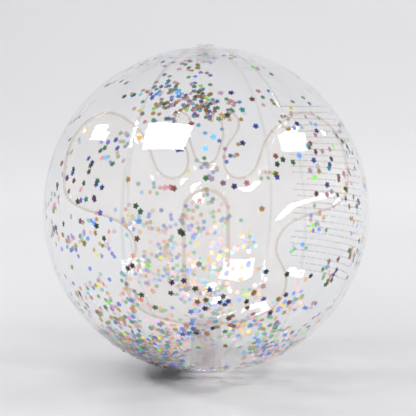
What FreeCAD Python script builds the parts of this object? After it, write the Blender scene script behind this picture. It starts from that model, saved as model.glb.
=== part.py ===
"""Inflatable clear beach ball with an inflated butterfly figure and loose star glitter inside.

Millimetres. +Z is up and the origin is the centre of the flat patch that the ball rests on.
The butterfly lies in the XZ plane and faces -Y. Each sub-part is written to parts/NODE.step.
"""
import FreeCAD
import Part
import math
import os
import random

from FreeCAD import Vector

# Ball
BALL_RADIUS = 175.0  # outside of the gores when blown up
FILM = 0.3  # thickness of the PVC film
WELD_GAP = 0.05  # room left between two films that are welded face to face
GORES = 6
SEAM_AZIMUTH = 3.0  # degrees from +X to the first seam
LAP_WIDTH = 4.0  # width of the lap weld along a seam
GORE_END_RADIUS = 34.0  # the gores stop this far from the axis, under the polar discs
CAP_RADIUS = 40.0  # polar discs
FOOT_RADIUS = 22.0  # patch that the ball's weight presses flat
SEAT_RADIUS = 18.0  # film that the top valve's flange holds flat

# Valves, both of one size
HOLE_RADIUS = 11.0  # hole in the polar disc
FLANGE_RADIUS = 17.0
FLANGE_THICKNESS = 0.8
SKIRT_INNER_RADIUS = 9.95
SKIRT_WALL = 0.8
RING_RADIUS = 9.9
RING_THICKNESS = 3.5
TUBE_RADIUS = 5.2
TUBE_LENGTH = 16.0
BORE_RADIUS = 3.15
HEAD_RADIUS = 9.8
HEAD_THICKNESS = 2.6
HEAD_EDGE = 0.6  # rounding of the plug's head
SHANK_RADIUS = 3.1
SHANK_LENGTH = 9.0
SHANK_TAPER = 0.8  # chamfer at the shank's tip
STRAP_INNER_RADIUS = 6.6
STRAP_OUTER_RADIUS = 8.2
STRAP_THICKNESS = 0.8
STRAP_START = 20.0  # degrees around the stem
STRAP_TURN = 180.0
STRAP_LEG = 18.0
FLAP_RADIUS = 4.6
FLAP_THICKNESS = 0.5
FLAP_HINGE_X = 6.2
FLAP_TAB_WIDTH = 5.0
TOP_PROUD = 3.0  # the top plug stands this far out of the film
BOTTOM_SUNK = 1.0  # the bottom plug lies this far inside the foot

# Butterfly
NECK_RADIUS = 17.4
NECK_TOP = 46.0
FIGURE_WELD = 2.5  # width of the weld around the figure
WING_DEPTH = 20.0  # how far each sheet bulges at the wings
BODY_DEPTH = 20.0  # and at the body
BODY_HALF_WIDTH = 24.0
BODY_TOP = 22.0  # heights from the ball's centre
BODY_BOTTOM = -92.0
BODY_WELD = 3.6
OUTLINE_SAMPLES = 160

# Right half of the figure's outline, as x and height from the ball's centre: from the neck round
# the lower wing, the upper wing and the antenna to the notch between the antennae.
HALF_OUTLINE = [
    (17, -126),
    (45, -121),
    (74, -108),
    (88, -84),
    (85, -61),
    (78, -46),
    (86, -21),
    (103, -10),
    (130, -1),
    (150, 12),
    (154, 42),
    (146, 74),
    (128, 97),
    (103, 106),
    (78, 94),
    (63, 76),
    (55, 53),
    (44, 38),
    (30, 37),
    (21, 50),
    (26, 72),
    (35, 86),
    (36, 98),
    (26, 106),
    (16, 98),
    (17, 84),
    (13, 66),
    (6, 53),
]

# Glitter
STAR_RADIUS = 2.6
STAR_WAIST = 1.5
STAR_THICKNESS = 0.15
STAR_WALL_GAP = 0.1  # from the film's inside to the star
STAR_SPACING = 6.5
STARS_PER_COLOUR = 30
STAR_POLE_CLEARANCE = 28.0  # no star nearer to the axis, where the valves and the neck are
STAR_LOW_BIAS = 1.7  # above 1, more stars lie low in the ball
GLITTER_SEED = 7
GLITTER_COLOURS = [
    "navy",
    "green",
    "gold",
    "maroon",
    "mauve",
    "teal",
    "violet",
    "silver",
    "pink",
    "azure",
]

CAP_INNER = BALL_RADIUS + WELD_GAP
CAP_OUTER = CAP_INNER + FILM
CENTRE_Z = math.sqrt(CAP_OUTER**2 - FOOT_RADIUS**2)
TOP_PLANE = CENTRE_Z + math.sqrt(CAP_OUTER**2 - SEAT_RADIUS**2)
CENTRE = Vector(0, 0, CENTRE_Z)
UP = Vector(0, 0, 1)


def cylinder(radius, low, high):
    return Part.makeCylinder(radius, high - low, Vector(0, 0, low), UP)


def tube(inner, outer, low, high):
    return cylinder(outer, low, high).cut(cylinder(inner, low, high))


def sector(inner, outer, start, turn, low, high):
    """Part of a tube, from the angle start over turn degrees."""
    corners = [Vector(inner, 0, low), Vector(outer, 0, low), Vector(outer, 0, high), Vector(inner, 0, high)]
    section = Part.Face(Part.makePolygon(corners + corners[:1]))
    section.rotate(Vector(), UP, start)
    return section.revolve(Vector(), UP, turn)


def on_sphere(radius, polar):
    """Point of the XZ plane at an angle from the ball's top pole."""
    return CENTRE + Vector(radius * math.sin(polar), 0, radius * math.cos(polar))


def film_strip(inner, outer, end_radius, start, turn):
    """Spherical film that runs from pole to pole over turn degrees of azimuth."""
    end = math.asin(end_radius / BALL_RADIUS)
    stops = [end, math.pi / 2, math.pi - end]
    outside = [on_sphere(outer, polar) for polar in stops]
    inside = [on_sphere(inner, polar) for polar in stops]
    edges = [
        Part.Arc(*outside).toShape(),
        Part.LineSegment(outside[2], inside[2]).toShape(),
        Part.Arc(*reversed(inside)).toShape(),
        Part.LineSegment(inside[0], outside[0]).toShape(),
    ]
    section = Part.Face(Part.Wire(edges))
    section.rotate(CENTRE, UP, start)
    return section.revolve(CENTRE, UP, turn)


def gore(index):
    """One panel, with its half of the lap weld standing over the next panel's edge."""
    step = 360.0 / GORES
    start = SEAM_AZIMUTH + index * step
    half_lap = math.degrees(LAP_WIDTH / 2 / BALL_RADIUS)
    lap_end = CAP_RADIUS + LAP_WIDTH / 4
    panel = film_strip(BALL_RADIUS - FILM, BALL_RADIUS, GORE_END_RADIUS, start, step)
    root = film_strip(BALL_RADIUS, CAP_OUTER, lap_end, start + step - half_lap, half_lap)
    lap = film_strip(CAP_INNER, CAP_OUTER, lap_end, start + step, half_lap)
    return panel.fuse([root, lap]).removeSplitter()


def polar_disc(plane, sign):
    """Film disc over the gores' ends, flat out to where it meets the plane. sign is 1 at the top pole."""
    reach = 2 * BALL_RADIUS
    room = Part.makeBox(2 * reach, 2 * reach, reach, Vector(-reach, -reach, 0))
    if sign > 0:
        outside_room = room.translated(Vector(0, 0, plane - reach))
        inside_room = room.translated(Vector(0, 0, plane - FILM - reach))
    else:
        outside_room = room.translated(Vector(0, 0, plane))
        inside_room = room.translated(Vector(0, 0, plane + FILM))
    outside = Part.makeSphere(CAP_OUTER, CENTRE).common(outside_room)
    inside = Part.makeSphere(CAP_INNER, CENTRE).common(inside_room)
    ends = sorted((CENTRE_Z, plane + sign * FILM))
    return outside.cut(inside).common(tube(HOLE_RADIUS, CAP_RADIUS, *ends))


def valve(proud):
    """The solids of a pushed-in valve, outward along +Z, with the film's outside at z = 0."""
    head_low = proud - HEAD_THICKNESS
    tube_top = head_low - WELD_GAP
    tube_low = tube_top - TUBE_LENGTH
    ring_top = tube_low + RING_THICKNESS
    film_low = -FILM - WELD_GAP
    skirt_outer = SKIRT_INNER_RADIUS + SKIRT_WALL

    flange = tube(skirt_outer + WELD_GAP, FLANGE_RADIUS, film_low - FLANGE_THICKNESS, film_low)
    skirt = tube(SKIRT_INNER_RADIUS, skirt_outer, tube_low, film_low)
    stem = tube(BORE_RADIUS, TUBE_RADIUS, tube_low, tube_top)
    stem = stem.fuse(tube(BORE_RADIUS, RING_RADIUS, tube_low, ring_top)).removeSplitter()

    head = cylinder(HEAD_RADIUS, head_low, proud)
    top_edge = [e for e in head.Edges if e.BoundBox.ZMin > proud - HEAD_EDGE]
    head = head.makeFillet(HEAD_EDGE, top_edge)
    shank = cylinder(SHANK_RADIUS, head_low - SHANK_LENGTH, head_low)
    tip_edge = [e for e in shank.Edges if e.BoundBox.ZMax < head_low - SHANK_LENGTH / 2]
    plug = head.fuse(shank.makeChamfer(SHANK_TAPER, tip_edge)).removeSplitter()

    run_low = (ring_top + head_low - STRAP_THICKNESS) / 2
    run_high = run_low + STRAP_THICKNESS
    radii = (STRAP_INNER_RADIUS, STRAP_OUTER_RADIUS)
    last_leg = STRAP_START + STRAP_TURN - STRAP_LEG
    run = sector(*radii, STRAP_START, STRAP_TURN, run_low, run_high)
    foot = sector(*radii, STRAP_START, STRAP_LEG, ring_top + WELD_GAP, run_low)
    top = sector(*radii, last_leg, STRAP_LEG, run_high, head_low - WELD_GAP)
    strap = run.fuse([foot, top]).removeSplitter()

    flap_top = tube_low - WELD_GAP
    flap = cylinder(FLAP_RADIUS, flap_top - FLAP_THICKNESS, flap_top)
    corner = Vector(0, -FLAP_TAB_WIDTH / 2, flap_top - FLAP_THICKNESS)
    tab = Part.makeBox(FLAP_HINGE_X, FLAP_TAB_WIDTH, FLAP_THICKNESS, corner)
    flap = flap.fuse(tab).removeSplitter()
    return {"flange": flange, "skirt": skirt, "stem": stem, "plug": plug, "strap": strap, "flap": flap}


def stand_valve(name, proud, plane, flip):
    """A valve's nodes, moved to the film's plane and turned over for the bottom pole."""
    nodes = {}
    for piece, solid in valve(proud).items():
        if flip:
            solid.rotate(Vector(), Vector(1, 0, 0), 180)
        solid.translate(Vector(0, 0, plane))
        nodes[f"{name}_{piece}"] = solid
    return nodes


def figure_curve():
    """The figure's whole outline as one closed smooth curve in the XZ plane."""
    right = [Vector(x, 0, CENTRE_Z + z) for x, z in HALF_OUTLINE]
    left = [Vector(-p.x, 0, p.z) for p in reversed(right)]
    curve = Part.BSplineCurve()
    curve.interpolate(right + left, PeriodicFlag=True)
    return curve


def inset_wire(curve, inset):
    """The outline moved inwards by inset, as a closed wire."""
    first, last = curve.FirstParameter, curve.LastParameter
    points = []
    for i in range(OUTLINE_SAMPLES):
        at = first + (last - first) * i / OUTLINE_SAMPLES
        along = curve.tangent(at)[0]
        points.append(curve.value(at) + Vector(-along.z, 0, along.x) * inset)
    moved = Part.BSplineCurve()
    moved.interpolate(points, PeriodicFlag=True)
    return Part.Wire([moved.toShape()])


def body_wire(inset):
    """The oval weld around the body, moved inwards by inset: two straight sides and two half rounds."""
    radius = BODY_HALF_WIDTH - inset
    high = CENTRE_Z + BODY_TOP - BODY_HALF_WIDTH
    low = CENTRE_Z + BODY_BOTTOM + BODY_HALF_WIDTH
    edges = [
        Part.LineSegment(Vector(radius, 0, low), Vector(radius, 0, high)).toShape(),
        Part.Arc(Vector(radius, 0, high), Vector(0, 0, high + radius), Vector(-radius, 0, high)).toShape(),
        Part.LineSegment(Vector(-radius, 0, high), Vector(-radius, 0, low)).toShape(),
        Part.Arc(Vector(-radius, 0, low), Vector(0, 0, low - radius), Vector(radius, 0, low)).toShape(),
    ]
    return Part.Wire(edges)


def raised(wires, depth):
    """Solid on the region inside the first wire and outside the rest, from the XZ plane to -Y."""
    face = Part.makeFace(wires, "Part::FaceMakerBullseye")
    return face.extrude(Vector(0, -depth, 0))


def figure_sheet():
    """The front sheet: a flat weld around the wings and the body, and film raised between the welds."""
    curve = figure_curve()
    half_weld = BODY_WELD / 2
    sheet = raised([inset_wire(curve, 0)], FILM)
    wings = raised([inset_wire(curve, FIGURE_WELD), body_wire(-half_weld)], WING_DEPTH)
    body = raised([body_wire(half_weld)], BODY_DEPTH)
    wing_wires = [inset_wire(curve, FIGURE_WELD + FILM), body_wire(-half_weld - FILM)]
    wing_hollow = raised(wing_wires, WING_DEPTH - FILM)
    body_hollow = raised([body_wire(half_weld + FILM)], BODY_DEPTH - FILM)
    sheet = sheet.fuse([wings, body]).cut(wing_hollow).cut(body_hollow)
    return sheet.translated(Vector(0, -WELD_GAP / 2, 0))


def star():
    """One five-petalled flake, flat in the XY plane."""
    petals = 5
    step = 2 * math.pi / petals
    edges = []
    for i in range(petals):
        turns = [(i - 0.5, STAR_WAIST), (i, STAR_RADIUS), (i + 0.5, STAR_WAIST)]
        points = [Vector(r * math.cos(t * step), r * math.sin(t * step), 0) for t, r in turns]
        edges.append(Part.Arc(*points).toShape())
    return Part.Face(Part.Wire(edges)).extrude(Vector(0, 0, STAR_THICKNESS))


def star_directions(draw, count):
    """Directions from the ball's centre, apart from each other and clear of the poles."""
    wall = BALL_RADIUS - FILM
    chosen = []
    while len(chosen) < count:
        height = 1 - 2 * (1 - draw.random() ** STAR_LOW_BIAS)
        azimuth = draw.uniform(0, 2 * math.pi)
        flat = math.sqrt(1 - height**2)
        way = Vector(flat * math.cos(azimuth), flat * math.sin(azimuth), height)
        near = any((way - other).Length * wall < STAR_SPACING for other in chosen)
        if flat * wall > STAR_POLE_CLEARANCE and not near:
            chosen.append(way)
    return chosen


def glitter():
    """Compounds of separate flakes on the inside of the film, one compound for each colour."""
    draw = random.Random(GLITTER_SEED)
    flake = star()
    radius = BALL_RADIUS - FILM - STAR_WALL_GAP - STAR_THICKNESS
    ways = star_directions(draw, STARS_PER_COLOUR * len(GLITTER_COLOURS))
    nodes = {}
    for index, colour in enumerate(GLITTER_COLOURS):
        flakes = []
        for way in ways[index :: len(GLITTER_COLOURS)]:
            spin = FreeCAD.Rotation(UP, draw.uniform(0, 360))
            turn = FreeCAD.Rotation(UP, way).multiply(spin)
            moved = flake.copy()
            moved.Placement = FreeCAD.Placement(CENTRE + way * radius, turn)
            flakes.append(moved)
        nodes[f"glitter_{colour}"] = Part.makeCompound(flakes)
    return nodes


def build():
    nodes = {f"gore_panel_{i + 1}": gore(i) for i in range(GORES)}
    nodes["top_cap"] = polar_disc(TOP_PLANE, 1)
    nodes["bottom_cap"] = polar_disc(0, -1)
    nodes.update(stand_valve("ball_valve", TOP_PROUD, TOP_PLANE, False))
    nodes.update(stand_valve("figure_valve", -BOTTOM_SUNK, 0, True))
    nodes["figure_neck"] = tube(NECK_RADIUS - FILM, NECK_RADIUS, FILM + WELD_GAP, NECK_TOP)
    front = figure_sheet()
    nodes["figure_front_sheet"] = front
    nodes["figure_back_sheet"] = front.mirror(Vector(), Vector(0, 1, 0))
    nodes.update(glitter())
    return nodes


os.makedirs("parts", exist_ok=True)
for name, shape in build().items():
    shape.exportStep(f"parts/{name}.step")
    print(f"{name:22s} solids {len(shape.Solids):3d}  volume {shape.Volume:10.1f}  valid {shape.isValid()}")
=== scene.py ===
import math
import random

import bpy
import numpy as np
from mathutils import Matrix, Quaternion, Vector, noise
from mathutils.geometry import delaunay_2d_cdt
from mathutils.kdtree import KDTree


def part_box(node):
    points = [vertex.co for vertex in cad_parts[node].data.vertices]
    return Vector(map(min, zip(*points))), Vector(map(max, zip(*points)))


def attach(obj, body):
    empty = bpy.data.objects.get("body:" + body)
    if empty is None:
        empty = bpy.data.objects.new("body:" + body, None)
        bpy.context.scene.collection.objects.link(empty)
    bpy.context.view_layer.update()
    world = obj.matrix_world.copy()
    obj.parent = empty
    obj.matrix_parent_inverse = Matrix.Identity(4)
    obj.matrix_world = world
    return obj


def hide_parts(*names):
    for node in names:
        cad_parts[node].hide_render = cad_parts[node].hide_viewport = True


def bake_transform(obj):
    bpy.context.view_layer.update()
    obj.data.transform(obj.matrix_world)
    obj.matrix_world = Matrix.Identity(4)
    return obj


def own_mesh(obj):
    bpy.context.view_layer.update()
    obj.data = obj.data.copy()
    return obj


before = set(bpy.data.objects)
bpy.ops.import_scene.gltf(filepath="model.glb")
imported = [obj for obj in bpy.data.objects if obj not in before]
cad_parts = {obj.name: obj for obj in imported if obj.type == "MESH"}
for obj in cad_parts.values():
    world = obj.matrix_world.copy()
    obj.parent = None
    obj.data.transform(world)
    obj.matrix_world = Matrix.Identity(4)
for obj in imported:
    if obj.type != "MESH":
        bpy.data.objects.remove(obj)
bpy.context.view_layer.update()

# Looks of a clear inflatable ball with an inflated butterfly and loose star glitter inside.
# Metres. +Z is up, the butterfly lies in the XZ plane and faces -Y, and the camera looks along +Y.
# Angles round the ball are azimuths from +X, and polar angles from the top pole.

MM = 0.001

# Ball
GORES = 6
STEP = 2 * math.pi / GORES  # from one seam to the next
SEAM_AZIMUTH = math.radians(3)  # first seam
FILM = 0.3 * MM
SEAM_VALLEY = 0.9 * MM
LAP_WIDTH = 4 * MM  # lap weld along a seam
CAP_WELD = 5 * MM  # welded rim of a polar disc
CAP_HOLE_R = 11.0 * MM

# Printed dashes
PRINT_ROWS = 28
PRINT_TOP = 112 * MM  # height of the first row above the ball's middle
PRINT_PITCH = 7.1 * MM
PRINT_FROM, PRINT_TO = math.radians(7), math.radians(50)  # after the first seam
DASH_HALF = 0.95 * MM

# Valves
FLANGE_HOLE_R = 10.82 * MM
WELD_RIDGE = 0.25 * MM
BORE_R = 3.15 * MM
TUBE_R = 5.2 * MM
SHANK_R = 3.1 * MM
SHANK_LENGTH = 9.0 * MM
RING_HEIGHT = 2.9 * MM
STRAP_MIDDLE_R = 7.3 * MM
STRAP_HALF_WIDTH, STRAP_HALF_THICK = 0.8 * MM, 0.42 * MM

# Butterfly
OUTLINE_WELD, RING_WELD = 0.5 * MM, 0.6 * MM  # heights of the pressed welds
CROWN_SHARE = 0.62  # rise of a narrow tube of film, as a share of its half width
CROWN_LIMIT = 165 * MM  # half width at which that share is halved

gore_low, gore_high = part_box("gore_panel_2")
cap_low, cap_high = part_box("top_cap")
foot_low, foot_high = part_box("bottom_cap")
neck_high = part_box("figure_neck")[1]
BALL_R = gore_high.y
CENTRE = Vector((0, 0, (gore_low.z + gore_high.z) / 2))
CAP_R = cap_high.x
INNER_R = BALL_R - FILM
NECK_R = neck_high.x


# ---------------------------------------------------------------- materials

def add(tree, kind, inputs=None, **settings):
    """A node, with its settings and its inputs: each input is a value or another node's output."""
    made = tree.nodes.new(kind)
    for key, value in settings.items():
        setattr(made, key, value)
    for key, value in (inputs or {}).items():
        if isinstance(value, bpy.types.NodeSocket):
            tree.links.new(value, made.inputs[key])
        else:
            made.inputs[key].default_value = value
    return made


def material(name, shade):
    """A node material. shade(tree, place) returns the shader, and place is the frame's coordinates."""
    made = bpy.data.materials.new(name)
    made.use_nodes = True
    tree = made.node_tree
    tree.nodes.clear()
    place = add(tree, "ShaderNodeTexCoord").outputs["Object"]
    out = add(tree, "ShaderNodeOutputMaterial")
    tree.links.new(shade(tree, place), out.inputs["Surface"])
    return made


def grain(tree, place, scale, low, high, detail=3.0):
    """Noise between two values."""
    tex = add(tree, "ShaderNodeTexNoise", {"Vector": place, "Scale": scale, "Detail": detail})
    spread = add(tree, "ShaderNodeMapRange",
                 {"Value": tex.outputs["Fac"], "From Min": 0.2, "From Max": 0.8,
                  "To Min": low, "To Max": high}, interpolation_type="SMOOTHERSTEP")
    return spread.outputs["Result"]


def bump(tree, height, strength, distance):
    made = add(tree, "ShaderNodeBump", {"Height": height, "Strength": strength, "Distance": distance})
    return made.outputs["Normal"]


def glancing(tree, straight):
    """Share of light that a film mirrors: straight seen square on, and nearly all at a glancing angle."""
    facing = add(tree, "ShaderNodeLayerWeight", {"Blend": 0.5}).outputs["Facing"]
    steep = add(tree, "ShaderNodeMath", {0: facing, 1: 4.2}, operation="POWER").outputs[0]
    made = add(tree, "ShaderNodeMath", {0: steep, 1: 0.92 - straight, 2: straight},
               operation="MULTIPLY_ADD")
    return made.outputs[0]


def film_shader(tint, mirror, haze, haze_colour, smudge, relief):
    """Clear film: mostly what lies behind it, a mirror by angle and a little milkiness."""
    def shade(tree, place):
        slow = grain(tree, place, 28.0, 0.0, 1.0)
        fine = grain(tree, place, 240.0, 0.0, 1.0, 2.0)
        height = add(tree, "ShaderNodeMath", {0: fine, 1: 0.12, 2: slow}, operation="MULTIPLY_ADD")
        normal = bump(tree, height.outputs[0], relief, 0.0012)
        rough = grain(tree, place, 60.0, *smudge)
        clear = add(tree, "ShaderNodeBsdfTransparent", {"Color": (*tint, 1)})
        gloss = add(tree, "ShaderNodeBsdfGlossy",
                    {"Color": (1, 1, 1, 1), "Roughness": rough, "Normal": normal})
        milk = add(tree, "ShaderNodeBsdfPrincipled",
                   {"Base Color": (*haze_colour, 1), "Roughness": 0.35, "Normal": normal})
        veil = grain(tree, place, 22.0, haze * 0.8, haze * 1.2)
        body = add(tree, "ShaderNodeMixShader", {0: veil, 1: clear.outputs[0], 2: milk.outputs[0]})
        top = add(tree, "ShaderNodeMixShader",
                  {0: glancing(tree, mirror), 1: body.outputs[0], 2: gloss.outputs[0]})
        return top.outputs[0]
    return shade


# Each film: tint, mirror, haze, haze colour, least and most roughness, relief.
clear_film = material("clear_film", film_shader(
    (0.978, 0.978, 0.98), 0.024, 0.005, (0.8, 0.8, 0.82), (0.0, 0.015), 0.03))
seam_film = material("seam_weld", film_shader(
    (0.945, 0.945, 0.95), 0.05, 0.04, (0.72, 0.71, 0.72), (0.05, 0.14), 0.25))
figure_film = material("figure_film", film_shader(
    (0.988, 0.98, 0.971), 0.036, 0.12, (0.98, 0.955, 0.92), (0.01, 0.04), 0.12))
figure_weld = material("figure_weld", film_shader(
    (0.95, 0.91, 0.875), 0.05, 0.14, (0.74, 0.61, 0.52), (0.08, 0.2), 0.4))
valve_vinyl = material("valve_vinyl", film_shader(
    (0.975, 0.97, 0.975), 0.05, 0.03, (0.62, 0.59, 0.66), (0.05, 0.15), 0.2))
plug_vinyl = material("plug_vinyl", film_shader(
    (0.93, 0.91, 0.93), 0.05, 0.07, (0.5, 0.46, 0.54), (0.08, 0.2), 0.2))
neck_film = material("neck_film", film_shader(
    (0.93, 0.92, 0.92), 0.04, 0.26, (0.68, 0.64, 0.63), (0.02, 0.06), 0.25))
print_ink = material("stripe_print", film_shader(
    (0.86, 0.86, 0.865), 0.03, 0.14, (0.4, 0.4, 0.42), (0.2, 0.35), 0.2))


def foil_shader(shades, flash, pale):
    """Holographic foil: a flake has one of the shades, a few flash (a painted glint), and the rest are
    painted paler by their share of painted light.
    """
    def shade(tree, place):
        island = add(tree, "ShaderNodeNewGeometry").outputs["Random Per Island"]
        ramp = add(tree, "ShaderNodeValToRGB", {"Fac": island})
        ramp.color_ramp.interpolation = "CONSTANT"
        bar = ramp.color_ramp.elements
        bar[0].color = (*shades[0], 1)
        bar[1].position = STEADY
        # painted glint: a few flakes get the bright flash colour in place of their shade
        bar[1].color = (*flash, 1)
        for i, colour in enumerate(shades[1:], 1):
            bar.new(STEADY * i / len(shades)).color = (*colour, 1)
        painted_lit = add(tree, "ShaderNodeAttribute", attribute_name="painted_lit").outputs["Fac"]
        steady = add(tree, "ShaderNodeMath", {0: island, 1: STEADY}, operation="LESS_THAN").outputs[0]
        share = add(tree, "ShaderNodeMath", {0: painted_lit, 1: steady}, operation="MULTIPLY").outputs[0]
        # painted light: the flake's colour is mixed toward its pale colour by its painted light share
        colour = add(tree, "ShaderNodeMix", {0: share, 6: ramp.outputs["Color"], 7: (*pale, 1)},
                     data_type="RGBA")
        groove = add(tree, "ShaderNodeTexWave", {"Vector": place, "Scale": 900.0, "Distortion": 2.0})
        normal = bump(tree, groove.outputs["Fac"], 0.25, 0.00005)
        rough = grain(tree, place, 300.0, 0.42, 0.58)
        foil = add(tree, "ShaderNodeBsdfPrincipled",
                   {"Base Color": colour.outputs[2], "Metallic": 0.3, "Roughness": rough, "Normal": normal,
                    "Specular IOR Level": 0.2})
        return foil.outputs[0]
    return shade


# Flakes past this share are painted with the flash colour, a painted glint.
STEADY = 0.93  # share of the flakes that don't flash
# Each foil: three shades, the flash colour (a painted glint) and the pale colour (painted light).
FOILS = {
    "navy": (
        [(0.002, 0.008, 0.07), (0.003, 0.015, 0.11), (0.006, 0.04, 0.26)],
        (0.1, 0.35, 0.95), (0.2, 0.33, 0.82)),
    "green": (
        [(0.002, 0.02, 0.005), (0.003, 0.04, 0.009), (0.01, 0.1, 0.02)],
        (0.3, 0.9, 0.12), (0.22, 0.5, 0.27)),
    "gold": (
        [(0.09, 0.035, 0.002), (0.16, 0.07, 0.004), (0.36, 0.19, 0.02)],
        (0.98, 0.85, 0.08), (0.76, 0.5, 0.2)),
    "maroon": (
        [(0.05, 0.006, 0.01), (0.1, 0.02, 0.025), (0.2, 0.05, 0.03)],
        (0.98, 0.3, 0.15), (0.74, 0.42, 0.36)),
    "mauve": (
        [(0.08, 0.035, 0.07), (0.16, 0.08, 0.15), (0.36, 0.24, 0.34)],
        (0.95, 0.5, 0.9), (0.83, 0.66, 0.74)),
    "teal": (
        [(0.002, 0.035, 0.045), (0.004, 0.08, 0.09), (0.01, 0.2, 0.24)],
        (0.02, 0.75, 0.85), (0.3, 0.62, 0.63)),
    "violet": (
        [(0.02, 0.01, 0.1), (0.04, 0.02, 0.18), (0.13, 0.07, 0.38)],
        (0.45, 0.25, 0.98), (0.4, 0.35, 0.8)),
    "silver": (
        [(0.5, 0.52, 0.56), (0.62, 0.62, 0.66), (0.42, 0.46, 0.5)],
        (0.95, 0.95, 0.95), (0.85, 0.85, 0.87)),
    "pink": (
        [(0.5, 0.2, 0.24), (0.6, 0.32, 0.36), (0.42, 0.16, 0.2)],
        (0.98, 0.5, 0.38), (0.92, 0.62, 0.62)),
    "azure": (
        [(0.03, 0.14, 0.5), (0.05, 0.24, 0.65), (0.1, 0.4, 0.75)],
        (0.2, 0.75, 1.0), (0.35, 0.62, 0.95)),
}
foils = {colour: material(f"foil_{colour}", foil_shader(*FOILS[colour])) for colour in FOILS}


# ------------------------------------------------------------- mesh helpers

def piece(name, points, faces, materials, body="ball", slot=None, nodes=(), indices=None, smooth=True):
    """A mesh object in the frame. body is None where the piece blends between two bodies."""
    mesh = bpy.data.meshes.new(name)
    mesh.from_pydata([tuple(p) for p in points], [], [tuple(f) for f in faces])
    mesh.validate()
    for each in materials:
        mesh.materials.append(each)
    if indices is not None:
        mesh.polygons.foreach_set("material_index", indices)
    mesh.polygons.foreach_set("use_smooth", [smooth] * len(mesh.polygons))
    mesh.update()
    made = bpy.data.objects.new(name, mesh)
    bpy.context.scene.collection.objects.link(made)
    if body is not None:
        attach(made, body)
    if nodes:
        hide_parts(*nodes)
    return made


def grid_faces(rows, columns, wrap=False):
    """Quads of a grid of points stored row by row. wrap joins the last column to the first."""
    faces = []
    for r in range(rows - 1):
        for c in range(columns if wrap else columns - 1):
            d = (c + 1) % columns
            faces.append((r * columns + c, r * columns + d, (r + 1) * columns + d, (r + 1) * columns + c))
    return faces


def rounded(profile, radius, steps=3):
    """A closed profile of (radius, height) points with its corners rounded."""
    done = []
    count = len(profile)
    for i in range(count):
        here = np.array(profile[i], float)
        before, after = np.array(profile[i - 1], float), np.array(profile[(i + 1) % count], float)
        if here[0] < 1e-9:
            done.append(tuple(here))
            continue
        back, on = before - here, after - here
        reach = min(radius, 0.45 * np.linalg.norm(back), 0.45 * np.linalg.norm(on))
        start = here + back / max(np.linalg.norm(back), 1e-12) * reach
        end = here + on / max(np.linalg.norm(on), 1e-12) * reach
        for k in range(steps + 1):
            t = k / steps
            done.append(tuple((1 - t) ** 2 * start + 2 * t * (1 - t) * here + t**2 * end))
    return done


def lathe(name, profile, sign, segments=72, **words):
    """A closed profile turned round the Z axis. Heights count along sign, -1 for the bottom valve."""
    points, faces = [], []
    turns = [2 * math.pi * k / segments for k in range(segments)]
    count = len(profile)
    for turn in turns:
        points += [(r * math.cos(turn), r * math.sin(turn), sign * t) for r, t in profile]
    for s in range(segments):
        n = (s + 1) % segments
        for i in range(count):
            j = (i + 1) % count
            if profile[i][0] < 1e-9 and profile[j][0] < 1e-9:
                continue
            quad = [s * count + i, n * count + i, n * count + j, s * count + j]
            if profile[i][0] < 1e-9:
                tip = s * count if i == 0 else i
                quad = [tip, n * count + j, s * count + j]
            elif profile[j][0] < 1e-9:
                quad = [s * count + i, n * count + i, j]
            faces.append(quad if sign > 0 else quad[::-1])
    return piece(name, points, faces, **words)


# --------------------------------------------------------------------- ball

def film_radius(azimuth, polar):
    """The blown-up film: a shallow valley along each seam, puckers beside it and a slow unevenness."""
    off = (azimuth - SEAM_AZIMUTH + STEP / 2) % STEP - STEP / 2
    seam = np.round((azimuth - SEAM_AZIMUTH) / STEP)
    beside = np.abs(off) * BALL_R * np.sin(polar)
    along = BALL_R * polar
    valley = -SEAM_VALLEY * np.exp(-((beside / (13 * MM)) ** 2))
    wave = np.sin(along / (1.9 * MM) + 2.1 * seam + 2.5 * np.sin(along / (23 * MM) + seam))
    grip = 0.10 + 0.35 * np.abs(np.cos(polar)) ** 4
    pucker = grip * MM * wave * np.exp(-beside / (9 * MM)) * np.clip(beside / (2 * MM), 0, 1)
    slow = 0.35 * MM * np.sin(3 * azimuth + 1.3) * np.sin(polar)
    slow = slow * np.sin(5 * polar + 2 * np.sin(2 * azimuth))
    return BALL_R + valley + pucker + slow


def on_ball(radius, azimuth, polar):
    """Points at a radius from the ball's centre, as an array."""
    flat = radius * np.sin(polar)
    height = CENTRE.z + radius * np.cos(polar)
    return np.stack([flat * np.cos(azimuth), flat * np.sin(azimuth), height], -1)


def gore_end():
    """Polar angle where the gores stop, under the polar disc."""
    return math.asin((CAP_R - 6 * MM) / BALL_R)


def make_gore(index):
    """One film panel between two seams, with columns closer together beside the seams."""
    rows, columns = 221, 45
    share = 0.5 - 0.5 * np.cos(np.linspace(0, math.pi, columns))
    share = 0.45 * share + 0.55 * np.linspace(0, 1, columns)
    polar, azimuth = np.meshgrid(np.linspace(gore_end(), math.pi - gore_end(), rows),
                                 SEAM_AZIMUTH + STEP * (index + share), indexing="ij")
    points = on_ball(film_radius(azimuth, polar), azimuth, polar).reshape(-1, 3)
    piece(f"gore_film_{index + 1}", points, grid_faces(rows, columns), [clear_film],
          slot="clear_film", nodes=[f"gore_panel_{index + 1}"])


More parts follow.
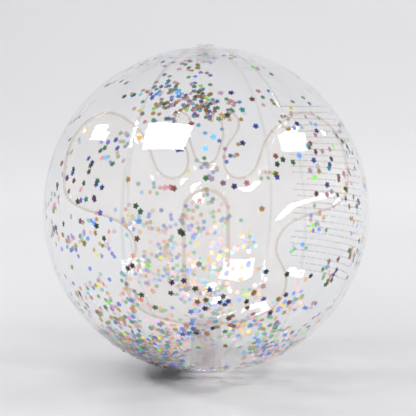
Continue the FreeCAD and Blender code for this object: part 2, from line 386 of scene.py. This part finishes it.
def make_seam(index):
    """The lap weld between two panels: a narrow double band with a pressed groove along its middle."""
    middle = SEAM_AZIMUTH + STEP * index
    across = np.array([-1.0, -0.92, -0.75, -0.2, 0.0, 0.2, 0.75, 0.92, 1.0]) * LAP_WIDTH / 2
    height = np.array([-0.05, 0.22, 0.34, 0.3, 0.16, 0.3, 0.34, 0.22, -0.05]) * MM
    rows = 320
    end = math.asin((CAP_R + 0.5 * MM) / BALL_R)
    polar = np.linspace(end, math.pi - end, rows)[:, None]
    azimuth = middle + across[None, :] / (BALL_R * np.sin(polar))
    knurl = 0.03 * MM * np.sin(BALL_R * polar / (0.35 * MM))
    radius = film_radius(azimuth, polar + 0 * azimuth) + height[None, :] + knurl
    points = on_ball(radius, azimuth, polar + 0 * azimuth).reshape(-1, 3)
    piece(f"seam_weld_{index + 1}", points, grid_faces(rows, len(across)), [seam_film],
          slot="clear_film", nodes=[f"gore_panel_{index or GORES}"])


def make_cap(name, low, high, sign):
    """A polar disc, flat where the flange or the floor holds it, with a welded rim and small puckers."""
    plane = high.z if sign > 0 else low.z
    outer = math.hypot(CAP_R, (low.z if sign > 0 else high.z) - CENTRE.z)
    flat = math.sqrt(max(outer**2 - (plane - CENTRE.z) ** 2, 0))
    rim = CAP_R - CAP_WELD
    radii = np.unique(np.concatenate([np.linspace(CAP_HOLE_R, rim, 22), np.linspace(rim, CAP_R, 7)]))
    turns = np.linspace(0, 2 * math.pi, 216, endpoint=False)
    radius, turn = np.meshgrid(radii, turns, indexing="ij")
    dome = np.sqrt(np.maximum(outer**2 - radius**2, 0))
    away = np.minimum(dome, abs(plane - CENTRE.z))
    near_rim = np.exp(-np.maximum(rim - radius, 0) / (5 * MM)) * (radius < rim - 0.1 * MM)
    away += 0.16 * MM * near_rim * np.sin(36 * turn + 2 * np.sin(3 * turn)) * (radius > flat + 3 * MM)
    away += 0.12 * MM * (radius > rim) * (radius < CAP_R - 0.4 * MM)
    away[-1] -= 0.4 * MM
    points = np.stack([radius * np.cos(turn), radius * np.sin(turn), CENTRE.z + sign * away], -1)
    faces = grid_faces(len(radii), len(turns), wrap=True)
    weld = [1 if radii[i // len(turns)] >= rim - 1e-6 else 0 for i in range(len(faces))]
    return piece(f"{name}_film", points.reshape(-1, 3), faces, [clear_film, seam_film],
                 slot="clear_film", nodes=[name], indices=weld)


def make_stripes(draw):
    """Rows of plain printed dashes on the inside of one panel, a stand-in for the printed block there."""
    left, right = SEAM_AZIMUTH + PRINT_FROM, SEAM_AZIMUTH + PRINT_TO
    points, faces = [], []
    for row in range(PRINT_ROWS):
        polar = math.acos((PRINT_TOP - row * PRINT_PITCH) / BALL_R)
        turn = right - math.radians(draw.choice([0, 0, 0, 1.5, 7]))
        while turn > left:
            end = turn - math.radians(draw.uniform(1.5, 4.5))
            azimuth = np.linspace(turn, end, 6)
            start = len(points)
            for edge in (-DASH_HALF, DASH_HALF):
                tilt = np.full(6, polar + edge / BALL_R)
                points += list(on_ball(film_radius(azimuth, tilt) - 0.15 * MM, azimuth, tilt))
            faces += [[start + i for i in face] for face in grid_faces(2, 6)]
            turn = end - math.radians(0.55)
    piece("panel_print", points, faces, [print_ink], slot="clear_film")


# ------------------------------------------------------------------- valves

def squared(wave):
    """A cosine or sine drawn out so that a circle becomes a rounded rectangle."""
    return math.copysign(abs(wave) ** 0.6, wave)


def valve_box(name, node, sign):
    """A valve piece's CAD box: its inner and outer heights and its radius."""
    low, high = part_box(f"{name}_{node}")
    inner, outer = sorted((sign * low.z, sign * high.z))
    return inner, outer, high.x


def turned(name, node, sign, profile, radius, body, skin):
    """A turned valve piece, with its corners rounded to a radius."""
    return lathe(f"{name}_{node}_shape", rounded(profile, radius), sign, materials=[skin],
                 body=body, slot="valve_vinyl", nodes=[f"{name}_{node}"])


def make_flange(name, sign):
    """The ring welded to the polar disc, with a pressed ridge near its rim and one round its hole."""
    low, high, wide = valve_box(name, "flange", sign)
    inner, foot = FLANGE_HOLE_R, high - WELD_RIDGE
    profile = [(inner, low), (wide, low), (wide, foot), (wide - 1.2 * MM, high), (wide - 2.4 * MM, foot),
               (inner + 2.2 * MM, foot), (inner + 1.1 * MM, high), (inner, high)]
    turned(name, "flange", sign, profile, 0.2 * MM, "ball", valve_vinyl)


def make_stem(name, sign):
    """The tube that the plug closes, on a base ring."""
    low, high, wide = valve_box(name, "stem", sign)
    ring_top, lip = low + RING_HEIGHT, low + 3.5 * MM
    profile = [(BORE_R, low), (wide, low), (wide, lip), (8.8 * MM, lip), (8.4 * MM, ring_top),
               (6.3 * MM, ring_top), (5.6 * MM, low + 3.4 * MM), (TUBE_R, low + 4.6 * MM),
               (TUBE_R - 0.1 * MM, high - 3 * MM), (TUBE_R, high - 2.6 * MM), (TUBE_R, high),
               (BORE_R + 0.3 * MM, high), (BORE_R, high - 0.6 * MM)]
    turned(name, "stem", sign, profile, 0.35 * MM, f"{name}_stem_body", valve_vinyl)


def make_plug(name, sign):
    """The plug: a dished head on a shank with a tapered tip."""
    low, high, wide = valve_box(name, "plug", sign)
    under, dish = low + SHANK_LENGTH, high - 0.8 * MM
    profile = [(0, dish), (6.6 * MM, dish), (7.4 * MM, high - 0.1 * MM), (9.3 * MM, high),
               (wide, high - 0.6 * MM), (wide, under + 0.7 * MM), (9.0 * MM, under),
               (SHANK_R + 0.5 * MM, under), (SHANK_R - 0.1 * MM, under - 1 * MM),
               (SHANK_R, under - 5 * MM), (SHANK_R, low + 1.1 * MM), (2.3 * MM, low), (0, low)]
    turned(name, "plug", sign, profile[::-1], 0.3 * MM, f"{name}_plug_body", plug_vinyl)


def make_skirt(name, sign):
    """The thin wall round the stem, drawn as one fixed shape; the real wall rolls up shorter as the stem
    pops out.
    """
    low, high, wide = valve_box(name, "skirt", sign)
    steps = 14
    waves = [(k / steps, 0.12 * MM * math.sin(k / steps * 3 * math.pi)) for k in range(steps + 1)]
    outside = [(wide - 0.14 * MM + w, low + t * (high - low)) for t, w in waves]
    inside = [(wide - 0.66 * MM + w, low + t * (high - low)) for t, w in reversed(waves)]
    skirt = lathe(f"{name}_skirt_shape", outside + inside, sign, materials=[valve_vinyl], body="ball",
                  slot="valve_vinyl", nodes=[f"{name}_skirt"])
    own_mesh(skirt)


def make_strap(name, sign):
    """The strap that winds half way round the stem, from its base ring to the plug's head."""
    ring_top = valve_box(name, "stem", sign)[0] + RING_HEIGHT
    under = valve_box(name, "plug", sign)[0] + SHANK_LENGTH
    steps, around = 48, 10
    points = []
    for k in range(steps + 1):
        t = k / steps
        turn = math.radians(20 + 180 * t) * sign
        rise = ring_top + (under - ring_top) * (3 * t * t - 2 * t**3)
        for a in range(around):
            angle = 2 * math.pi * a / around
            across = STRAP_MIDDLE_R + STRAP_HALF_WIDTH * squared(math.cos(angle))
            up = rise + STRAP_HALF_THICK * squared(math.sin(angle))
            points.append((across * math.cos(turn), across * math.sin(turn), sign * up))
    faces = [face[::-1] for face in grid_faces(steps + 1, around, wrap=True)]
    faces += [list(range(around)), list(range(steps * around, (steps + 1) * around))[::-1]]
    strap = piece(f"{name}_strap_shape", points, faces, [plug_vinyl], body=None, slot="valve_vinyl",
                  nodes=[f"{name}_strap"])
    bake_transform(strap)


def make_valve(name, sign):
    """One valve, 1 for the top and -1 for the bottom. Heights are z times sign, so they grow outwards."""
    for make in (make_flange, make_stem, make_plug, make_skirt, make_strap):
        make(name, sign)
    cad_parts[f"{name}_flap"].data.materials[0] = valve_vinyl


# ---------------------------------------------------------------- butterfly

def flat_loops(node):
    """Closed loops round a sheet's weld on the figure's mid-plane, longest first, as x and z."""
    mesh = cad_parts[node].data
    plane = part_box(node)[1].y
    where = [(round(v.co.x, 7), round(v.co.z, 7)) for v in mesh.vertices]
    used = {}
    for face in mesh.polygons:
        if all(abs(mesh.vertices[i].co.y - plane) < 1e-6 for i in face.vertices):
            ring = [where[i] for i in face.vertices]
            for a, b in zip(ring, ring[1:] + ring[:1]):
                used[a, b] = used.get((a, b), 0) + 1
    on = {a: b for a, b in used if (b, a) not in used}
    loops = []
    while on:
        start = next(iter(on))
        loop = [start]
        after = on.pop(start)
        while after != start:
            loop.append(after)
            after = on.pop(after)
        loops.append(np.array(loop))
    return sorted(loops, key=lambda loop: -loop_length(loop))


def loop_length(loop):
    return float(np.linalg.norm(np.roll(loop, -1, 0) - loop, axis=1).sum())


def evenly(loop, spacing):
    """The closed loop as points at even spacing."""
    closed = np.vstack([loop, loop[:1]])
    along = np.concatenate([[0], np.cumsum(np.linalg.norm(np.diff(closed, axis=0), axis=1))])
    count = max(8, round(along[-1] / spacing))
    at = np.linspace(0, along[-1], count, endpoint=False)
    return np.stack([np.interp(at, along, closed[:, k]) for k in (0, 1)], -1)


def inside(points, loop):
    """Which points lie inside a closed loop."""
    x, z = points[:, 0], points[:, 1]
    found = np.zeros(len(points), bool)
    for (ax, az), (bx, bz) in zip(loop, np.roll(loop, -1, 0)):
        if az != bz:
            found ^= ((az > z) != (bz > z)) & (x < (bx - ax) * (z - az) / (bz - az) + ax)
    return found


def tree_of(points):
    tree = KDTree(len(points))
    for i, (x, z) in enumerate(points):
        tree.insert((x, z, 0), i)
    tree.balance()
    return tree


def membrane(points, triangles, held):
    """Height of a soap film blown up over the triangles and held at 0 on the held points.

    The film's equation is solved by conjugate gradients.
    """
    a, b, c = (points[triangles[:, k]] for k in range(3))
    rows, columns, weights = [], [], []
    area2 = (b[:, 0] - a[:, 0]) * (c[:, 1] - a[:, 1]) - (b[:, 1] - a[:, 1]) * (c[:, 0] - a[:, 0])
    area2 = np.abs(area2) + 1e-14
    corners = [a, b, c]
    for k in range(3):
        i, j = (k + 1) % 3, (k + 2) % 3
        to_i, to_j = corners[i] - corners[k], corners[j] - corners[k]
        weight = np.maximum((to_i * to_j).sum(1) / area2, 0.02) / 2
        rows += [triangles[:, i], triangles[:, j]]
        columns += [triangles[:, j], triangles[:, i]]
        weights += [weight, weight]
    rows, columns, weights = map(np.concatenate, (rows, columns, weights))
    count = len(points)
    whole = np.bincount(rows, weights, count)
    load = sum(np.bincount(triangles[:, k], area2 / 6, count) for k in range(3))
    free = ~held & (whole > 0)

    def apply(h):
        return np.where(free, whole * h - np.bincount(rows, weights * h[columns], count), 0)

    height = np.zeros(count)
    left = np.where(free, load, 0)
    way = left / np.maximum(whole, 1e-12)
    size = (left * way).sum()
    for _ in range(600):
        pulled = apply(way)
        step = size / max((way * pulled).sum(), 1e-30)
        height += step * way
        left = left - step * pulled
        scaled = left / np.maximum(whole, 1e-12)
        new = (left * scaled).sum()
        if new < 1e-24:
            break
        way = scaled + new / size * way
        size = new
    return np.maximum(height, 0)


def figure_mesh(wing, ring_out, ring_in):
    """The film between the welds: points as x and z, triangles, and which points the welds hold."""
    loops = [evenly(wing, 2.2 * MM), evenly(ring_out, 2.0 * MM), evenly(ring_in, 2.0 * MM)]
    spacing = 2.6 * MM
    low, high = wing.min(0), wing.max(0)
    grid = []
    for row, z in enumerate(np.arange(low[1], high[1], spacing * math.sqrt(3) / 2)):
        for x in np.arange(low[0] + (row % 2) * spacing / 2, high[0], spacing):
            grid.append((x, z))
    grid = np.array(grid)
    edge = tree_of(np.vstack(loops))
    clear = np.array([edge.find((x, z, 0))[2] > 0.6 * spacing for x, z in grid])
    band = inside(grid, ring_out) & ~inside(grid, ring_in)
    grid = grid[clear & inside(grid, wing) & ~band]
    edges, start = [], 0
    for loop in loops:
        edges += [(start + i, start + (i + 1) % len(loop)) for i in range(len(loop))]
        start += len(loop)
    made = delaunay_2d_cdt([Vector(p) for p in [*np.vstack(loops), *grid]], edges, [], 1, 1e-7)
    points = np.array([v[:] for v in made[0]])
    triangles = np.array([f for f in made[2] if len(f) == 3])
    middle = points[triangles].mean(1)
    triangles = triangles[inside(middle, wing) & ~(inside(middle, ring_out) & ~inside(middle, ring_in))]
    held = np.array([edge.find((x, z, 0))[2] < 1e-6 for x, z in points])
    return points, triangles, held


def figure_rise(points, triangles, held, welds):
    """How far the blown film stands off at each point, with ripples beside the welds."""
    size = np.sqrt(2 * membrane(points, triangles, held))
    spacing = 0.5  # millimetres between the points that stand for the welds
    seam = tree_of(np.vstack([evenly(loop, spacing * MM) for loop in welds]))
    nearest = [seam.find((x, z, 0))[1:] for x, z in points]
    far = np.maximum([reach for index, reach in nearest], 0.2 * MM)
    half_width = np.maximum((size**2 / far + far) / 2, size)
    crown = CROWN_SHARE * half_width / (1 + half_width / CROWN_LIMIT)
    rise = np.where(held, 0, crown * (size / np.maximum(half_width, MM)) ** 1.55)
    a, b = np.vstack([triangles[:, [0, 1]], triangles[:, [1, 2]], triangles[:, [2, 0]]]).T
    shared = np.maximum(np.bincount(a, minlength=len(points)) + np.bincount(b, minlength=len(points)), 1)
    for _ in range(12):
        around = (np.bincount(a, rise[b], len(points)) + np.bincount(b, rise[a], len(points))) / shared
        rise = np.where(held, 0, 0.4 * rise + 0.6 * around)
    for i, (x, z) in enumerate(points):
        if not held[i]:
            index, far = nearest[i]
            along = index * spacing * MM
            ripple = math.sin(along / (1.5 * MM) + 2.2 * math.sin(along / (17 * MM)))
            fade = math.exp(-far / (4.5 * MM)) * min(far / (2 * MM), 1)
            slow = noise.noise(Vector((x, z, 0)) * 24)
            rise[i] += 0.22 * MM * ripple * fade + 0.35 * MM * slow * min(rise[i] / (8 * MM), 1)
    return np.maximum(rise, 0)


def weld_bead(outer, inner, side, height):
    """A pressed weld band between two loops: a flat top with a step down at each edge."""
    edge, facing = evenly(outer, 1.4 * MM), evenly(inner, 0.3 * MM)
    tree = tree_of(facing)
    across = facing[[tree.find((x, z, 0))[1] for x, z in edge]]
    levels = [(0, -0.1), (0.08, 0.7), (0.2, 1), (0.5, 0.8), (0.8, 1), (0.92, 0.7), (1, -0.1)]
    points = []
    for (ox, oz), (ix, iz) in zip(edge, across):
        for t, h in levels:
            points.append((ox + (ix - ox) * t, side * (FILM + h * height), oz + (iz - oz) * t))
    faces = []
    count = len(levels)
    for k in range(len(edge)):
        n = (k + 1) % len(edge)
        for j in range(count - 1):
            faces.append((k * count + j, n * count + j, n * count + j + 1, k * count + j + 1))
    return points, faces


def make_figure():
    """Front and back sheets of the butterfly, blown up between their welds."""
    outline, wing, ring_out, ring_in = flat_loops("figure_front_sheet")[:4]
    flat, triangles, held = figure_mesh(wing, ring_out, ring_in)
    rise = figure_rise(flat, triangles, held, (wing, ring_out, ring_in))
    for half, side in (("front", -1), ("back", 1)):
        points = [(x, side * (FILM + up), z) for (x, z), up in zip(flat, rise)]
        faces = [tuple(t) if side > 0 else tuple(t[::-1]) for t in triangles.tolist()]
        weld = [0] * len(faces)
        for outer, inner, height in ((outline, wing, OUTLINE_WELD), (ring_out, ring_in, RING_WELD)):
            more = weld_bead(outer, inner, side, height)
            faces += [tuple(i + len(points) for i in face) for face in more[1]]
            points += more[0]
            weld += [1] * len(more[1])
        piece(f"figure_{half}_film", points, faces, [figure_film, figure_weld], body="figure",
              slot="figure_film", nodes=[f"figure_{half}_sheet"], indices=weld)


def make_neck():
    """The soft neck: a film tube that flares on the bottom disc and flattens into the figure's edge."""
    rows, columns = 48, 96
    top = neck_high.z + 9 * MM
    points = []
    for r in range(rows):
        t = r / (rows - 1)
        z = foot_low.z + 0.5 * MM + t * (top - foot_low.z)
        flare = 3.2 * MM * math.exp(-(z - foot_low.z) / (2.2 * MM))
        waist = -0.9 * MM * math.sin(math.pi * t)
        flatten = max(0.0, (t - 0.55) / 0.45) ** 1.5
        for c in range(columns):
            turn = 2 * math.pi * c / columns
            crease = 0.22 * MM * math.sin(9 * turn + 1.5 * math.sin(5 * t)) * (0.4 + t)
            wide = NECK_R + flare + waist + crease
            points.append((wide * math.cos(turn), wide * (1 - 0.5 * flatten) * math.sin(turn), z))
    neck = piece("figure_neck_film", points, grid_faces(rows, columns, wrap=True), [neck_film], body=None,
                 slot="figure_film", nodes=["figure_neck"])
    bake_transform(neck)


# ------------------------------------------------------------------ glitter

STAR_R = 3.2 * MM
FLAKE = 0.12 * MM  # thickness


def star_outline():
    """A five-petalled flake's edge, as angle and radius."""
    outline = []
    for k in range(40):
        turn = 2 * math.pi * k / 40
        petal = abs(math.cos(2.5 * turn))
        outline.append((turn, STAR_R * (0.43 + 0.57 * petal ** 0.75)))
    return outline


OUTLINE = star_outline()


def flake(place, normal, spin, curl):
    """Points and faces of one thin closed flake, slightly curled."""
    normal = normal.normalized()
    side = normal.orthogonal().normalized()
    side.rotate(Matrix.Rotation(spin, 3, normal))
    other = normal.cross(side)
    count = len(OUTLINE)
    points = [place + normal * FLAKE / 2, place - normal * FLAKE / 2]
    for face in (0.5, -0.5):
        for turn, radius in OUTLINE:
            across = radius * math.cos(turn)
            bend = curl * across * across / STAR_R
            up = face * FLAKE + bend
            points.append(place + side * across + other * radius * math.sin(turn) + normal * up)
    faces = []
    for k in range(count):
        n = (k + 1) % count
        faces += [(0, 2 + k, 2 + n), (1, 2 + count + n, 2 + count + k),
                  (2 + k, 2 + count + k, 2 + count + n, 2 + n)]
    return points, faces


# Drifts of glitter on the ball's inside, as degrees to the right of the front (-Y) and degrees up for
# the middle, the spreads of both, clumps, flakes in a clump, and how much painted light makes their colour
# pale.
DRIFTS = [
    # near side
    (-44, 24, 9, 8, 9, 3, 0.0), (-60, 5, 8, 16, 8, 3, 0.0), (0, 42, 20, 8, 12, 1, 0.0),
    (-6, 10, 17, 11, 26, 1, 0.0), (46, 22, 8, 8, 11, 3, 0.0), (60, 4, 8, 14, 12, 3, 0.0),
    (66, -12, 8, 12, 6, 3, 0.2), (-50, -12, 14, 12, 9, 2, 0.0), (-14, -22, 9, 4, 12, 1, 0.0),
    (8, -28, 9, 4, 14, 1, 0.0), (28, -20, 8, 4, 12, 1, 0.0), (-32, -38, 11, 6, 16, 4, 0.8),
    (2, -34, 10, 3, 6, 3, 0.5), (34, -38, 12, 7, 8, 4, 0.8), (0, 50, 50, 8, 6, 2, 0.2),
    (-40, -54, 11, 5, 34, 6, 0.9), (30, -54, 8, 4, 9, 6, 0.9),
    # far side
    (180, 65, 34, 5, 7, 5, 0.6), (-150, 43, 12, 6, 8, 7, 0.6), (-166, 42, 12, 7, 9, 7, 0.5),
    (-178, 44, 10, 6, 7, 7, 0.5), (140, 44, 14, 6, 4, 5, 0.7), (-128, 20, 12, 8, 5, 6, 0.75),
    (174, 25, 12, 6, 5, 6, 0.7), (-172, 8, 14, 8, 5, 7, 0.9), (122, 15, 12, 14, 5, 5, 0.7),
    (-124, -6, 12, 7, 4, 7, 0.8), (-154, -10, 12, 6, 5, 8, 0.9), (-133, -20, 9, 6, 5, 7, 0.8),
    (-174, -13, 13, 7, 12, 7, 0.9), (120, -12, 12, 12, 5, 6, 0.8), (-160, -30, 12, 6, 14, 8, 0.9),
    (-176, -27, 9, 6, 8, 7, 0.9), (-124, -30, 10, 8, 7, 6, 0.9), (138, -34, 14, 8, 6, 6, 0.9),
    (-160, -46, 22, 6, 16, 8, 0.95), (150, -48, 22, 6, 11, 7, 0.95),
    # sides, and the pile at the bottom
    (-92, -10, 10, 26, 9, 3, 0.5), (90, 0, 10, 24, 9, 3, 0.5), (-66, -60, 20, 6, 78, 9, 0.95),
    (-130, -62, 26, 7, 16, 8, 0.95), (50, -62, 18, 5, 15, 8, 0.95), (140, -62, 26, 6, 12, 9, 0.95),
    (-78, -71, 26, 4, 84, 14, 0.95),
]
COLOUR_SHARE = {"navy": 19, "green": 20, "gold": 18, "maroon": 9, "mauve": 8, "teal": 4, "violet": 4,
                "silver": 2, "pink": 12, "azure": 4}
BARE_R = 26 * MM  # no flake nearer to the axis, where the valves and the neck are
HIGHEST = 74  # degrees up of the highest clump
BESIDE, UP = 3.4, 2.4  # spread of the flakes in a clump, in degrees
LEAN, PILE_LEAN = 0.09, 2.5  # how unevenly flakes lie, and how many times more so in the pile
PILE_BELOW = -0.75  # height of the pile's top over the ball's middle, in ball radii
CLEAR, LOOSE, PILE = 0.8, 0.5, 3.5  # millimetres off the film: all flakes, and more for each kind


def ball_way(right, up):
    """Direction from the ball's centre, from degrees to the right of the front and degrees up."""
    right, up = math.radians(right), math.radians(up)
    return Vector((math.cos(up) * math.sin(right), -math.cos(up) * math.cos(right), math.sin(up)))


def make_glitter(draw):
    """Loose flakes on the ball's inside, one piece for each foil colour."""
    names = list(COLOUR_SHARE)
    shares = list(COLOUR_SHARE.values())
    shapes = {name: ([], [], []) for name in names}
    for right, up, spread_right, spread_up, clumps, flakes, turned in DRIFTS:
        for k in range(clumps * flakes):
            if k % flakes == 0:
                middle = draw.gauss(right, spread_right), min(draw.gauss(up, spread_up), HIGHEST)
            beside = draw.gauss(0, BESIDE) / max(math.cos(math.radians(middle[1])), 0.3)
            way = ball_way(middle[0] + beside, middle[1] + draw.gauss(0, UP))
            colour = draw.choices(names, shares)[0]
            spin, curl, lift = draw.uniform(0, 7), draw.gauss(0, 0.05), draw.random()
            lean = Vector((draw.gauss(0, 1), draw.gauss(0, 1), draw.gauss(0, 1))) * LEAN
            # painted light: a share of the pale colour, painted on flakes of drifts that are given one
            painted_lit = min(max(draw.gauss(turned, 0.15), 0), 1) if turned else 0
            low = way.z < PILE_BELOW
            if math.hypot(way.x, way.y) * BALL_R < BARE_R:
                continue
            off = (CLEAR + (PILE * lift**2 if low else LOOSE * lift)) * MM
            normal = -way + lean * (PILE_LEAN if low else 1)
            shape = flake(CENTRE + way * (INNER_R - off), normal, spin, curl)
            points, faces, shine = shapes[colour]
            faces += [[i + len(points) for i in face] for face in shape[1]]
            points += shape[0]
            shine += [painted_lit] * len(shape[0])
    for name, (points, faces, shine) in shapes.items():
        stars = piece(f"stars_{name}", points, faces, [foils[name]], slot=f"foil_{name}",
                      nodes=[f"glitter_{name}"], smooth=False)
        stars.data.attributes.new("painted_lit", "FLOAT", "POINT").data.foreach_set("value", shine)


# ---------------------------------------------------- stage, light and camera

FLOOR_R, BEND_R = 1.3, 1.4  # flat floor, and the bend up into the backdrop
REACH = FLOOR_R + BEND_R
# Whiteness of the studio by distance from the ball: a painted shade darkens the floor near the ball, and
# further out the tones even out the backdrop's brightness.
PAINTED_SHADE_TONE, FAR_TONE = (0.25, 0.53), (2.05, 0.69)
MIDDLE_TONES = [(0.75, 0.62), (1.4, 0.69), (1.7, 0.73)]


def make_stage():
    """A pale floor that curves up into a round backdrop, painted darker near the ball as a painted shade.
    """
    profile = [(0.0, 0.0), (0.4, 0.0), (0.8, 0.0), (FLOOR_R, 0.0)]
    for k in range(1, 25):
        angle = math.pi / 2 * k / 24
        profile.append((FLOOR_R + BEND_R * math.sin(angle), BEND_R * (1 - math.cos(angle))))
    profile.append((REACH, 2.6))
    segments = 96
    points = []
    for r, z in profile:
        for s in range(segments):
            turn = 2 * math.pi * s / segments
            points.append((r * math.cos(turn), r * math.sin(turn), z))
    faces = grid_faces(len(profile), segments, wrap=True)
    mesh = bpy.data.meshes.new("studio_floor")
    mesh.from_pydata(points, [], faces)
    mesh.polygons.foreach_set("use_smooth", [True] * len(mesh.polygons))

    def shade(tree, place):
        tone = grain(tree, place, 0.7, 0.985, 1.0, 0.0)
        level = add(tree, "ShaderNodeVectorMath", {0: place, 1: (1 / REACH, 1 / REACH, 0)},
                    operation="MULTIPLY")
        away = add(tree, "ShaderNodeVectorMath", {0: level.outputs["Vector"]}, operation="LENGTH")
        # painted shade: the floor's colour darkens towards the ball
        ramp = add(tree, "ShaderNodeValToRGB", {"Fac": away.outputs["Value"]})
        bar = ramp.color_ramp.elements
        for stop, (distance, tint) in zip((bar[0], bar[1]), (PAINTED_SHADE_TONE, FAR_TONE)):
            stop.position, stop.color = distance / REACH, (tint, tint, tint, 1)
        for distance, tint in MIDDLE_TONES:
            bar.new(distance / REACH).color = (tint, tint, tint, 1)
        value = add(tree, "ShaderNodeMath", {0: ramp.outputs["Color"], 1: tone}, operation="MULTIPLY")
        value = value.outputs[0]
        cool = add(tree, "ShaderNodeMath", {0: value, 1: 1.015}, operation="MULTIPLY").outputs[0]
        colour = add(tree, "ShaderNodeCombineColor", {"Red": value, "Green": value, "Blue": cool})
        made = add(tree, "ShaderNodeBsdfPrincipled",
                   {"Base Color": colour.outputs["Color"], "Roughness": 0.28})
        return made.outputs[0]

    mesh.materials.append(material("studio_floor", shade))
    floor = bpy.data.objects.new("studio_floor", mesh)
    bpy.context.scene.collection.objects.link(floor)


def softbox(name, place, facing, roll, width, height, glow):
    """A rectangular light. It shines against facing, roll turns it about that, and glow is its radiance."""
    data = bpy.data.lights.new(name, "AREA")
    data.shape, data.size, data.size_y = "RECTANGLE", width, height
    data.energy = glow * math.pi * width * height
    light = bpy.data.objects.new(name, data)
    bpy.context.scene.collection.objects.link(light)
    light.location = place
    light.rotation_mode = "QUATERNION"
    turn = Quaternion((0, 0, 1), math.radians(roll))
    light.rotation_quaternion = facing.to_track_quat("Z", "Y") @ turn
    light.visible_camera = False
    return light


def make_lights():
    """Three soft lamps, each with a bright twin that shows only in reflections, and two washes."""
    left, side, above = Vector((-0.41, -0.48, 0.78)), Vector((-0.814, 0.136, 0.564)), Vector((0, 0, 1))
    right = Vector((1.5, -0.33, 1.2))
    for kind, near, glow in (("soft", 1, (7, 46, 85)), ("glint", 0.97, (44, 13, 18))):
        lamps = [
            softbox(f"left_{kind}", CENTRE + left * 1.65 * near, left, 12, 0.88, 0.5, glow[0]),
            softbox(f"right_{kind}", CENTRE + right * near, above, 53, 0.47, 0.47, glow[1]),
            softbox(f"side_{kind}", CENTRE + side * 1.65 * near, side, 22, 0.42, 0.14, glow[2]),
        ]
        for lamp in lamps:
            lamp.visible_glossy = kind == "glint"
            lamp.visible_diffuse = kind == "soft"
    for name, way, glow in (("far_wash", 1, 9.3), ("near_wash", -1, 5)):
        wash = softbox(name, Vector((0, 0.9 * way, 1.8)), Vector((0, -1.5 * way, 1.3)), 0, 2.4, 0.3, glow)
        wash.visible_glossy = False
    world = bpy.data.worlds.new("studio")
    bpy.context.scene.world = world
    world.use_nodes = True
    sky = world.node_tree.nodes["Background"].inputs
    sky["Color"].default_value = (0.985, 0.985, 1.0, 1)
    sky["Strength"].default_value = 0.3


def make_camera():
    """Seven ball radii away, five degrees above the ball's middle."""
    data = bpy.data.cameras.new("camera")
    data.lens, data.sensor_width = 98.0, 36.0
    camera = bpy.data.objects.new("camera", data)
    bpy.context.scene.collection.objects.link(camera)
    lift = math.radians(5)
    back = Vector((0, -math.cos(lift), math.sin(lift)))
    aim = CENTRE + Vector((2.2 * MM, 0, 2.2 * MM))
    camera.location = aim + back * 7 * BALL_R
    camera.rotation_mode = "QUATERNION"
    camera.rotation_quaternion = back.to_track_quat("Z", "Y")
    data.clip_start, data.clip_end = 0.05, 50
    bpy.context.scene.camera = camera


make_camera()
make_stage()
make_lights()
for i in range(GORES):
    make_gore(i)
    make_seam(i)
make_cap("top_cap", cap_low, cap_high, 1)
make_cap("bottom_cap", foot_low, foot_high, -1)
make_stripes(random.Random(2))
make_valve("ball_valve", 1)
make_valve("figure_valve", -1)
make_figure()
make_neck()
make_glitter(random.Random(5))

bpy.context.scene.cycles.transparent_max_bounces = 48
bpy.context.scene.view_settings.view_transform = "Standard"
